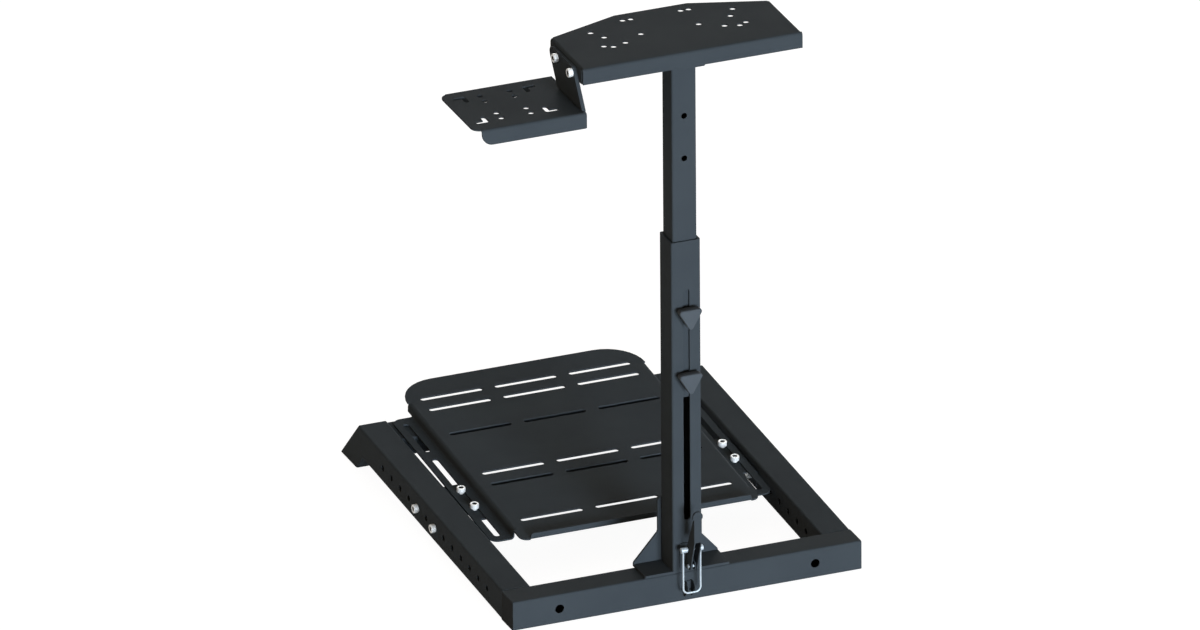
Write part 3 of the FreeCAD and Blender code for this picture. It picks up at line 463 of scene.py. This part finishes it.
def rounded(corners, steps=8):
    """Points of an outline whose corners (u, v, radius) are rounded."""
    points = []
    for i, (u, v, radius) in enumerate(corners):
        here = Vector((u, v))
        if radius <= 0:
            points.append(here)
            continue
        back = (Vector(corners[i - 1][:2]) - here).normalized()
        on = (Vector(corners[(i + 1) % len(corners)][:2]) - here).normalized()
        half = back.angle(on) / 2
        middle = here + (back + on).normalized() * (radius / math.sin(half))
        start = here + back * (radius / math.tan(half)) - middle
        end = here + on * (radius / math.tan(half)) - middle
        first = math.atan2(start.y, start.x)
        turn = math.atan2(end.y, end.x) - first
        turn = (turn + math.pi) % (2 * math.pi) - math.pi
        for k in range(steps + 1):
            angle = first + turn * k / steps
            points.append(middle + Vector((math.cos(angle), math.sin(angle))) * radius)
    return points


def round_hole(u, v, diameter, steps=24):
    points = []
    for i in range(steps):
        angle = 2 * math.pi * i / steps
        across = math.cos(angle) * diameter / 2
        along = math.sin(angle) * diameter / 2
        points.append(Vector((u + across, v + along)))
    return points


def slot_hole(u, v, length, width):
    """Slot with round ends; the longer of length (along u) and width (along v) is its run."""
    half_u = length / 2
    half_v = width / 2
    r = min(half_u, half_v) * 0.999
    return rounded(((u - half_u, v - half_v, r), (u + half_u, v - half_v, r),
                    (u + half_u, v + half_v, r), (u - half_u, v + half_v, r)))


def corner_hole(u, v, side, end, arm, width):
    """L-shaped slot with its corner at (u, v)."""
    half = width / 2
    r = half * 0.999
    shape = ((-half, half, r), (arm + half, half, r), (arm + half, -half, r),
             (half, -half, 0), (half, -arm - half, r), (-half, -arm - half, r))
    return rounded([(u + side * a, v + end * b, radius) for a, b, radius in shape])


def panel(mesh, outline, holes, low, high, place, joined=()):
    """Flat sheet with holes; where a bend takes over, inside a box of joined, it has no wall."""
    loops = [outline] + list(holes)
    flat = [point for loop in loops for point in loop]
    faces = tessellate_polygon([[Vector((q.x, q.y, 0)) for q in loop] for loop in loops])
    under = [mesh.verts.new(place @ Vector((q.x, q.y, low))) for q in flat]
    over = [mesh.verts.new(place @ Vector((q.x, q.y, high))) for q in flat]
    for a, b, c in faces:
        mesh.faces.new((over[a], over[b], over[c]))
        mesh.faces.new((under[c], under[b], under[a]))

    def inside(point):
        near = JOIN_TOLERANCE
        return [u0 - near <= point.x <= u1 + near and v0 - near <= point.y <= v1 + near
                for u0, v0, u1, v1 in joined]

    start = 0
    for loop in loops:
        for i in range(len(loop)):
            j = (i + 1) % len(loop)
            if any(a and b for a, b in zip(inside(loop[i]), inside(loop[j]))):
                continue
            mesh.faces.new((under[start + i], under[start + j], over[start + j], over[start + i]))
        start += len(loop)


def arc(middle_u, middle_v, radius, first, last, steps=ARC_STEPS):
    """Points on an arc, its angles in degrees."""
    points = []
    for k in range(steps + 1):
        angle = math.radians(first + (last - first) * k / steps)
        points.append((middle_u + radius * math.cos(angle), middle_v + radius * math.sin(angle)))
    return points


def lip_section(bend, drop):
    """Bend and lip of a sheet: (out, up) from the sharp corner; the last side meets the sheet."""
    inner = arc(-bend, -bend, bend - PLATE, 90, 0)
    outer = arc(-bend, -bend, bend, 0, 90)
    low = [(-PLATE, -drop), (0, -drop)] if drop > bend else []
    return inner + low + outer


def swept(mesh, stations, section, seams, place):
    """Section carried along stations (point, outward); its sides in seams stay open."""
    rings = []
    for origin, outward in stations:
        ring = [mesh.verts.new(place @ (origin + outward * out + Z * up)) for out, up in section]
        rings.append(ring)
    count = len(section)
    for a, b in zip(rings, rings[1:]):
        for i in range(count):
            if i in seams:
                continue
            j = (i + 1) % count
            face = mesh.faces.new((a[i], b[i], b[j], a[j]))
            face.smooth = True
    mesh.faces.new(rings[0])
    mesh.faces.new(list(reversed(rings[-1])))


def sheet_piece(mesh, name, body, replaced):
    finish_piece(mesh, name, body, (BLACK_COAT,), replaced)


def make_deck():
    mesh = bmesh.new()
    level = plan(X, Y, Z)
    side = plan(Y, Z, X)
    top = DECK_TOP
    flat = DECK_HALF - DECK_BEND
    near = DECK_FRONT + DECK_BEND
    bevel = DECK_BACK - DECK_BEVEL[1]
    back = DECK_HALF - DECK_BEVEL[0]
    step = bevel + DECK_STEP
    outline = rounded(((-flat, near, 0), (flat, near, 0), (flat, bevel, 0), (flat, step, 0),
                       (back, DECK_BACK, DECK_CORNER), (-back, DECK_BACK, DECK_CORNER),
                       (-flat, step, 0), (-flat, bevel, 0)))
    holes = [round_hole(sign * x, y, DECK_HOLE) for x, y in DECK_HOLES for sign in (-1, 1)]
    joined = ((-flat, near, flat, near), (flat, near, flat, bevel), (-flat, near, -flat, bevel))
    panel(mesh, outline, holes, top - PLATE, top, level, joined)
    front_end = DECK_HALF - DECK_FRONT_GAP
    stations = [(Vector((x, DECK_FRONT, top)), -Y) for x in (-front_end, front_end)]
    section = lip_section(DECK_BEND, DECK_LIP)
    swept(mesh, stations, section, (len(section) - 1,), level)
    drop = top - DECK_BEND
    for sign in (-1, 1):
        stations = [(Vector((sign * DECK_HALF, y, top)), X * sign) for y in (near, bevel)]
        bend = lip_section(DECK_BEND, DECK_BEND)
        swept(mesh, stations, bend, (ARC_STEPS, len(bend) - 1), level)
        lip = rounded(((near, top - DECK_LIP, 0), (bevel, top - DECK_LIP, 0), (bevel, drop, 0),
                       (near, drop, 0)))
        holes = [round_hole(y, z, BOLT_HOLE) for y, z in SIDE_HOLES]
        edge = sorted((sign * DECK_HALF, sign * (DECK_HALF - PLATE)))
        panel(mesh, lip, holes, edge[0], edge[1], side, ((near, drop, bevel, drop),))
    sheet_piece(mesh, "wheel_deck_sheet", "upper_column", "wheel_deck")


def make_shifter():
    mesh = bmesh.new()
    level = plan(X, Y, Z)
    across = plan(X, Z, Y)
    side = plan(Y, Z, X)
    top = SHIFTER_TOP
    right = -DECK_HALF
    near = SHIFTER_FRONT + DECK_BEND
    far = SHIFTER_BACK - DECK_BEND
    foot = right - DECK_BEND
    tab = right + PLATE
    outline = rounded(((SHIFTER_LEFT, near, SHIFTER_CORNER), (foot, near, 0),
                       (foot, UPRIGHT_BACK, 0), (foot, UPRIGHT_BACK + 1, 0),
                       (tab, UPRIGHT_BACK + 1, 1), (tab, far, 0),
                       (SHIFTER_LEFT, far, SHIFTER_CORNER)))
    u, v = SHIFTER_MIDDLE
    holes = []
    for a in (-1, 1):
        for b in (-1, 1):
            holes.append(corner_hole(u + a * SHIFTER_SLOT[0], v + b * SHIFTER_SLOT[1], a, b,
                                     SHIFTER_SLOT_ARM, SHIFTER_SLOT_WIDTH))
            for step in SHIFTER_HOLE_STEPS:
                place = (u + a * SHIFTER_HOLE_X, v + b * step)
                holes.append(round_hole(*place, SHIFTER_HOLE))
    joined = ((LIP_LEFT, near, foot, near), (foot, near, foot, UPRIGHT_BACK),
              (LIP_LEFT, far, tab, far))
    panel(mesh, outline, holes, top - PLATE, top, level, joined)
    bend = lip_section(DECK_BEND, DECK_BEND)
    drop = top - DECK_BEND
    low = top - SHIFTER_LIP
    for y, outward, end in ((SHIFTER_FRONT, -Y, right), (SHIFTER_BACK, Y, tab)):
        stations = [(Vector((x, y, top)), outward) for x in (LIP_LEFT, end)]
        swept(mesh, stations, bend, (ARC_STEPS, len(bend) - 1), level)
        lip = rounded(((LIP_LEFT, low, LIP_CORNERS[0]), (end, low, LIP_CORNERS[1]), (end, drop, 0),
                       (LIP_LEFT, drop, 0)))
        edge = sorted((y, y - outward.y * PLATE))
        panel(mesh, lip, (), edge[0], edge[1], across, ((LIP_LEFT, drop, end, drop),))
    rise = top - PLATE + DECK_BEND
    upward = [(out, -up) for out, up in bend]
    stations = [(Vector((right, y, top - PLATE)), X) for y in (near, UPRIGHT_BACK)]
    swept(mesh, stations, upward, (len(bend) - 1,), level)
    upright = rounded(((near, rise, 0), (UPRIGHT_BACK, rise, 0),
                       (UPRIGHT_BACK + UPRIGHT_LEAN, UPRIGHT_TOP, UPRIGHT_CORNER),
                       (near + UPRIGHT_LEAN, UPRIGHT_TOP, UPRIGHT_CORNER)))
    holes = [round_hole(y, z, BOLT_HOLE) for y, z in SIDE_HOLES]
    panel(mesh, upright, holes, right - UPRIGHT_THICK, right, side)
    sheet_piece(mesh, "shifter_bracket_sheet", "upper_column", "shifter_bracket")


def make_pedal_bar():
    mesh = bmesh.new()
    level = plan(X, Y, Z, True)
    flat = BAR_HALF - PEDAL_BEND
    notch = BAR_NEAR + BAR_NOTCH[1]
    cut = BAR_NOTCH[0]
    outline = rounded(((cut - flat, BAR_NEAR, 0), (flat - cut, BAR_NEAR, 0), (flat, notch, 0),
                       (flat, BAR_FAR, 0), (-flat, BAR_FAR, 0), (-flat, notch, 0)))
    middle = PEDAL_SEAT.y * 1000
    holes = []
    for name, sign in (("left", -1), ("right", 1)):
        for step in FLANGE_BOLT_STEPS[name]:
            holes.append(round_hole(sign * FLANGE_BOLT_X * 1000, middle + step * 1000, BOLT_HOLE))
    joined = ((flat, notch, flat, BAR_FAR), (-flat, notch, -flat, BAR_FAR))
    panel(mesh, outline, holes, BAR_TOP - PLATE, BAR_TOP, level, joined)
    section = lip_section(PEDAL_BEND, BAR_EAR)
    for sign in (-1, 1):
        stations = [(Vector((sign * BAR_HALF, y, BAR_TOP)), X * sign) for y in (BAR_NEAR, BAR_FAR)]
        swept(mesh, stations, section, (), level)
    sheet_piece(mesh, "pedal_bar_sheet", "base_frame", "pedal_cross_bar")


def make_pedal_plate():
    mesh = bmesh.new()
    level = plan(X, Y, Z, True)
    upright = plan(X, Z, Y, True)
    top = PEDAL_TOP
    half = PEDAL_HALF
    flat = half - PEDAL_BEND
    heel = HEEL_HALF
    fold = PEDAL_NEAR + HEEL_BEND
    outline = rounded(((-half, PEDAL_NEAR, NEAR_CORNER), (-heel, PEDAL_NEAR, 0), (-heel, fold, 0),
                       (heel, fold, 0), (heel, PEDAL_NEAR, 0), (half, PEDAL_NEAR, NEAR_CORNER),
                       (half, FLANGE_NEAR, 0), (flat, FLANGE_NEAR, 0), (flat, WALL_FAR, 0),
                       (half, WALL_FAR, 0), (half, PEDAL_FAR, FAR_CORNER),
                       (-half, PEDAL_FAR, FAR_CORNER),
                       (-half, WALL_FAR, 0), (-flat, WALL_FAR, 0), (-flat, FLANGE_NEAR, 0),
                       (-half, FLANGE_NEAR, 0)))
    holes = [slot_hole(c * SLOT_PITCH, y, SLOT_LENGTH, SLOT_WIDTH)
             for y in SLOT_ROWS for c in (-1, 0, 1)]
    joined = ((-heel, fold, heel, fold), (flat, FLANGE_NEAR, flat, WALL_FAR),
              (-flat, FLANGE_NEAR, -flat, WALL_FAR))
    panel(mesh, outline, holes, top - PLATE, top, level, joined)
    rise = top - PLATE + HEEL_BEND
    bend = [(out, -up) for out, up in lip_section(HEEL_BEND, HEEL_BEND)]
    stations = [(Vector((x, PEDAL_NEAR, top - PLATE)), -Y) for x in (-heel, heel)]
    swept(mesh, stations, bend, (ARC_STEPS, len(bend) - 1), level)
    lip = rounded(((-heel, rise, 0), (heel, rise, 0), (heel - 1, HEEL_TOP, HEEL_CORNER),
                   (1 - heel, HEEL_TOP, HEEL_CORNER)))
    panel(mesh, lip, (), PEDAL_NEAR, PEDAL_NEAR + PLATE, upright, ((-heel, rise, heel, rise),))
    inner = PEDAL_BEND - PLATE
    low = -FLANGE_DROP + inner
    wall = arc(-PEDAL_BEND, -PEDAL_BEND, inner, 90, 0)
    wall += arc(inner, low, PEDAL_BEND, 180, 270)
    wall += arc(inner, low, inner, 270, 180)
    wall += arc(-PEDAL_BEND, -PEDAL_BEND, PEDAL_BEND, 0, 90)
    plain = lip_section(PEDAL_BEND, FLANGE_DROP)
    runs = ((FLANGE_NEAR, FLANGE_FAR, wall, (FLANGE_SEAM, len(wall) - 1)),
            (FLANGE_FAR, WALL_FAR, plain, (len(plain) - 1,)))
    for sign in (-1, 1):
        for near, far, section, seams in runs:
            stations = [(Vector((sign * half, y, top)), X * sign) for y in (near, far)]
            swept(mesh, stations, section, seams, level)
        inside = half + inner
        flange = rounded([(sign * x, y, r) for x, y, r in (
            (inside, FLANGE_NEAR, 0), (FLANGE_EDGE, FLANGE_NEAR, FLANGE_CORNER),
            (FLANGE_EDGE, FLANGE_FAR, FLANGE_CORNER), (inside, FLANGE_FAR, 0))])
        holes = [slot_hole(sign * FLANGE_SLOT_X, (a + b) / 2, FLANGE_SLOT_WIDTH, b - a)
                 for a, b in FLANGE_SLOTS]
        seam = ((sign * inside, FLANGE_NEAR, sign * inside, FLANGE_FAR),)
        panel(mesh, flange, holes, BAR_TOP, BAR_TOP + PLATE, level, seam)
    sheet_piece(mesh, "pedal_plate_sheet", "base_frame", "pedal_plate")


def make_knob(name, height, body, replaced):
    """Three-cornered hand knob with a rounded front edge and a boss."""
    mesh = bmesh.new()
    front = plan(X, Z, Y)
    profile = [(KNOB_BACK, 1.0), (KNOB_BACK - 0.8, 0.2), (KNOB_BACK - 1.4, 0.0)]
    for k in range(6):
        angle = math.pi / 2 * k / 5
        profile.append((-KNOB_FACE + KNOB_EDGE * (1 - math.sin(angle)),
                        KNOB_EDGE * (1 - math.cos(angle))))
    rings = []
    for depth, inset in profile:
        corners = []
        for i in range(3):
            angle = math.radians(-90 + 120 * i)
            reach = KNOB_RADIUS - 2 * inset
            corners.append((reach * math.cos(angle), height + reach * math.sin(angle),
                            KNOB_CORNER - inset))
        points = rounded(corners)
        rings.append([mesh.verts.new(front @ Vector((q.x, q.y, depth))) for q in points])
    for a, b in zip(rings, rings[1:]):
        bridge(mesh, a, b)
    cap(mesh, rings[0], True)
    cap(mesh, rings[-1])
    turned = plan(X, Z, -Y) @ Matrix.Translation(Vector((0, height, 0)))
    rim = KNOB_FOOT + KNOB_CHAMFER
    profile = [(KNOB_BOSS, -KNOB_BACK - KNOB_CHAMFER), (KNOB_BOSS, rim),
               (KNOB_BOSS - KNOB_CHAMFER, KNOB_FOOT)]
    boss = lathe(mesh, profile, 40, turned)
    cap(mesh, boss[0])
    cap(mesh, boss[-1], True)
    for face in mesh.faces:
        face.smooth = True
    finish_piece(mesh, name, body, (KNOB_PLASTIC,), replaced)


def make_bail():
    """Wire loop with a sleeve on each end."""
    mesh = bmesh.new()
    path = [(-BAIL_HALF, BAIL_TOP)]
    turn = BAIL_LOW + BAIL_CORNER
    straight = BAIL_HALF - BAIL_CORNER
    path += arc(-straight, turn, BAIL_CORNER, 180, 270)
    path += arc(straight, turn, BAIL_CORNER, 270, 360)
    path.append((BAIL_HALF, BAIL_TOP))
    rings = []
    for i, (u, v) in enumerate(path):
        before = Vector(path[max(i - 1, 0)])
        after = Vector(path[min(i + 1, len(path) - 1)])
        run = (after - before).normalized()
        out = Vector((run.y, 0, -run.x))
        ring = []
        for k in range(12):
            angle = 2 * math.pi * k / 12
            around = out * math.cos(angle) + Y * math.sin(angle)
            point = Vector((u, BAIL_Y, v)) + around * WIRE_RADIUS
            ring.append(mesh.verts.new(point * 0.001))
        rings.append(ring)
    for a, b in zip(rings, rings[1:]):
        bridge(mesh, a, b)
    cap(mesh, rings[0], True)
    cap(mesh, rings[-1])
    for sign in (-1, 1):
        start, end = SLEEVE_ENDS
        profile = [(SLEEVE_BORE, start), (SLEEVE_RADIUS - 0.3, start), (SLEEVE_RADIUS, start + 0.3),
                   (SLEEVE_RADIUS, end - 0.3), (SLEEVE_RADIUS - 0.3, end), (SLEEVE_BORE, end)]
        place = plan(Y, Z, X * sign) @ Matrix.Translation(Vector((BAIL_Y, BAIL_Z, 0)))
        sleeve = lathe(mesh, profile, 32, place)
        bridge(mesh, sleeve[-1], sleeve[0])
    for face in mesh.faces:
        face.smooth = True
    finish_piece(mesh, "latch_bail_wire", "latch_bail", (BAIL_ZINC,), "latch_bail")


def finish_frame():
    """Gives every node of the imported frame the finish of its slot."""
    slots = {row["node"]: row["material_slot"] for row in frame["record"]["subparts"]}
    for name, obj in frame["nodes"].items():
        material = FINISHES[slots[name]]
        obj.data.materials.clear()
        obj.data.materials.append(material)


def add_bolts():
    left = Vector((-1, 0, 0))
    for where, y in zip(("front", "back"), SIDE_BOLT_Y):
        seat = Vector((-UPRIGHT_OUTSIDE, y, SIDE_BOLT_Z))
        cap_bolt("shifter_bolt_" + where, seat, left, UPRIGHT_GRIP, "upper_column")
    for side, sign in (("left", -1), ("right", 1)):
        for where, y in zip(("near", "far"), RAIL_BOLT_Y):
            z = RAIL_START + RAIL_SLOPE * (y - RAIL_START)
            seat = Vector((sign * RAIL_OUTSIDE, y, z))
            grip = RAIL_OUTSIDE - BAR_INSIDE
            cap_bolt(side + "_rail_bolt_" + where, seat, left * -sign, grip, "base_frame")
    up = Vector((0, -math.sin(PEDAL_ANGLE), math.cos(PEDAL_ANGLE)))
    along = Vector((0, math.cos(PEDAL_ANGLE), math.sin(PEDAL_ANGLE)))
    for side, sign in (("left", -1), ("right", 1)):
        for where, step in zip(("near", "far"), FLANGE_BOLT_STEPS[side]):
            seat = PEDAL_SEAT + along * step + up * SHEET
            seat.x = sign * FLANGE_BOLT_X
            cap_bolt(side + "_pedal_bolt_" + where, seat, up, 2 * SHEET, "base_frame")


FLOOR_HALF = 400.0
FLOOR_GAP = 0.0004
FLOOR_LIT = (0.80, 0.80, 0.80, 1)
FLOOR_SEEN = (0.24, 0.24, 0.24, 1)
FLOOR_GLOW = 0.95
FILL_COLOUR = (1.0, 0.80, 0.55, 1)
FILL_STRENGTH = 0.17

# Lamps: name, direction that the light comes from, strength, colour, softness in degrees
LAMPS = (
    ("front_light", (0.05, -1.0, 0.06), 5.8, (0.895, 1.00, 1.124), 22),
    ("top_light", (0.2, 0.3, 1.0), 0.12, (1.0, 1.0, 1.0), 50),
    ("left_light", (-1.0, 0.05, 0.10), 0.38, (1.0, 0.70, 0.45), 50),
    ("back_light", (0.3, 1.0, 0.06), 2.6, (1.0, 1.0, 1.0), 40),
    ("right_light", (1.0, -0.1, 0.06), 1.6, (1.0, 1.0, 1.0), 40),
)


def seen_directly(tree):
    """1 for camera, glossy and transmission rays, 0 for the rest."""
    path = node(tree, "ShaderNodeLightPath")
    first = node(tree, "ShaderNodeMath", operation="MAXIMUM")
    second = node(tree, "ShaderNodeMath", operation="MAXIMUM")
    tree.links.new(path.outputs["Is Camera Ray"], first.inputs[0])
    tree.links.new(path.outputs["Is Glossy Ray"], first.inputs[1])
    tree.links.new(first.outputs[0], second.inputs[0])
    tree.links.new(path.outputs["Is Transmission Ray"], second.inputs[1])
    return second.outputs[0]


def make_floor():
    """White floor that keeps a faint shadow and isn't there from below."""
    mesh = bpy.data.meshes.new("floor")
    size = FLOOR_HALF
    corners = [(-size, -size, 0), (size, -size, 0), (size, size, 0), (-size, size, 0)]
    mesh.from_pydata(corners, [], [(0, 1, 2, 3)])
    floor = bpy.data.objects.new("floor", mesh)
    bpy.context.scene.collection.objects.link(floor)
    floor.location.z = -FLOOR_GAP
    material = bpy.data.materials.new("floor")
    material.use_nodes = True
    tree = material.node_tree
    tree.nodes.clear()
    plain = node(tree, "ShaderNodeBsdfDiffuse", in_Color=FLOOR_LIT)
    faint = node(tree, "ShaderNodeBsdfDiffuse", in_Color=FLOOR_SEEN)
    white = node(tree, "ShaderNodeEmission", in_Strength=FLOOR_GLOW)
    bright = node(tree, "ShaderNodeAddShader")
    shown = node(tree, "ShaderNodeMixShader")
    open_below = node(tree, "ShaderNodeMixShader")
    clear = node(tree, "ShaderNodeBsdfTransparent")
    behind = node(tree, "ShaderNodeNewGeometry")
    out = node(tree, "ShaderNodeOutputMaterial")
    tree.links.new(faint.outputs[0], bright.inputs[0])
    tree.links.new(white.outputs[0], bright.inputs[1])
    tree.links.new(seen_directly(tree), shown.inputs[0])
    tree.links.new(plain.outputs[0], shown.inputs[1])
    tree.links.new(bright.outputs[0], shown.inputs[2])
    tree.links.new(behind.outputs["Backfacing"], open_below.inputs[0])
    tree.links.new(shown.outputs[0], open_below.inputs[1])
    tree.links.new(clear.outputs[0], open_below.inputs[2])
    tree.links.new(open_below.outputs[0], out.inputs[0])
    mesh.materials.append(material)


def make_world():
    """Even grey light; white where it is seen directly."""
    world = bpy.data.worlds.new("studio")
    bpy.context.scene.world = world
    world.use_nodes = True
    tree = world.node_tree
    tree.nodes.clear()
    fill = node(tree, "ShaderNodeBackground", in_Color=FILL_COLOUR, in_Strength=FILL_STRENGTH)
    white = node(tree, "ShaderNodeBackground", in_Strength=1.0)
    white.inputs["Color"].default_value = (1, 1, 1, 1)
    mix = node(tree, "ShaderNodeMixShader")
    out = node(tree, "ShaderNodeOutputWorld")
    tree.links.new(seen_directly(tree), mix.inputs[0])
    tree.links.new(fill.outputs[0], mix.inputs[1])
    tree.links.new(white.outputs[0], mix.inputs[2])
    tree.links.new(mix.outputs[0], out.inputs[0])


def sun(name, toward, strength, colour, softness):
    """Distant lamp that shines from toward onto the object."""
    data = bpy.data.lights.new(name, "SUN")
    data.energy = strength
    data.color = colour
    data.angle = math.radians(softness)
    lamp = bpy.data.objects.new(name, data)
    bpy.context.scene.collection.objects.link(lamp)
    lamp.rotation_mode = "QUATERNION"
    lamp.rotation_quaternion = Vector(toward).to_track_quat("Z", "Y")


def make_camera():
    across = math.radians(21.992)
    down = math.radians(24.556)
    roll = math.radians(0.392)
    pixels_per_metre = 785.57
    origin_in_picture = (681.93, 594.62)
    picture = (1200.0, 630.0)
    lens = 880.0
    aim_height = 0.35
    right = Vector((math.cos(across), -math.sin(across), 0))
    up = Vector((math.sin(across) * math.sin(down), math.cos(across) * math.sin(down),
                 math.cos(down)))
    back = right.cross(up)
    rolled_right = right * math.cos(roll) - up * math.sin(roll)
    rolled_up = right * math.sin(roll) + up * math.cos(roll)
    to_right = (picture[0] / 2 - origin_in_picture[0]) / pixels_per_metre
    to_top = (origin_in_picture[1] - picture[1] / 2) / pixels_per_metre
    data = bpy.data.cameras.new("camera")
    data.lens = lens
    data.clip_start = 1.0
    data.clip_end = 1000.0
    distance = lens * picture[0] / data.sensor_width / pixels_per_metre
    camera = bpy.data.objects.new("camera", data)
    bpy.context.scene.collection.objects.link(camera)
    middle = rolled_right * to_right + rolled_up * to_top
    middle = middle + back * ((aim_height - middle.z) / back.z)
    turn = Matrix((rolled_right, rolled_up, back)).transposed().to_4x4()
    camera.matrix_world = Matrix.Translation(middle + back * distance) @ turn
    bpy.context.scene.camera = camera


finish_frame()
make_deck()
make_shifter()
make_pedal_bar()
make_pedal_plate()
for side, height in KNOB_HEIGHTS.items():
    make_knob(side + "_knob_grip", height, side + "_knob", side + "_knob")
make_bail()
add_bolts()
make_floor()
make_world()
for lamp in LAMPS:
    sun(*lamp)
make_camera()
bpy.context.scene.view_settings.view_transform = "Standard"
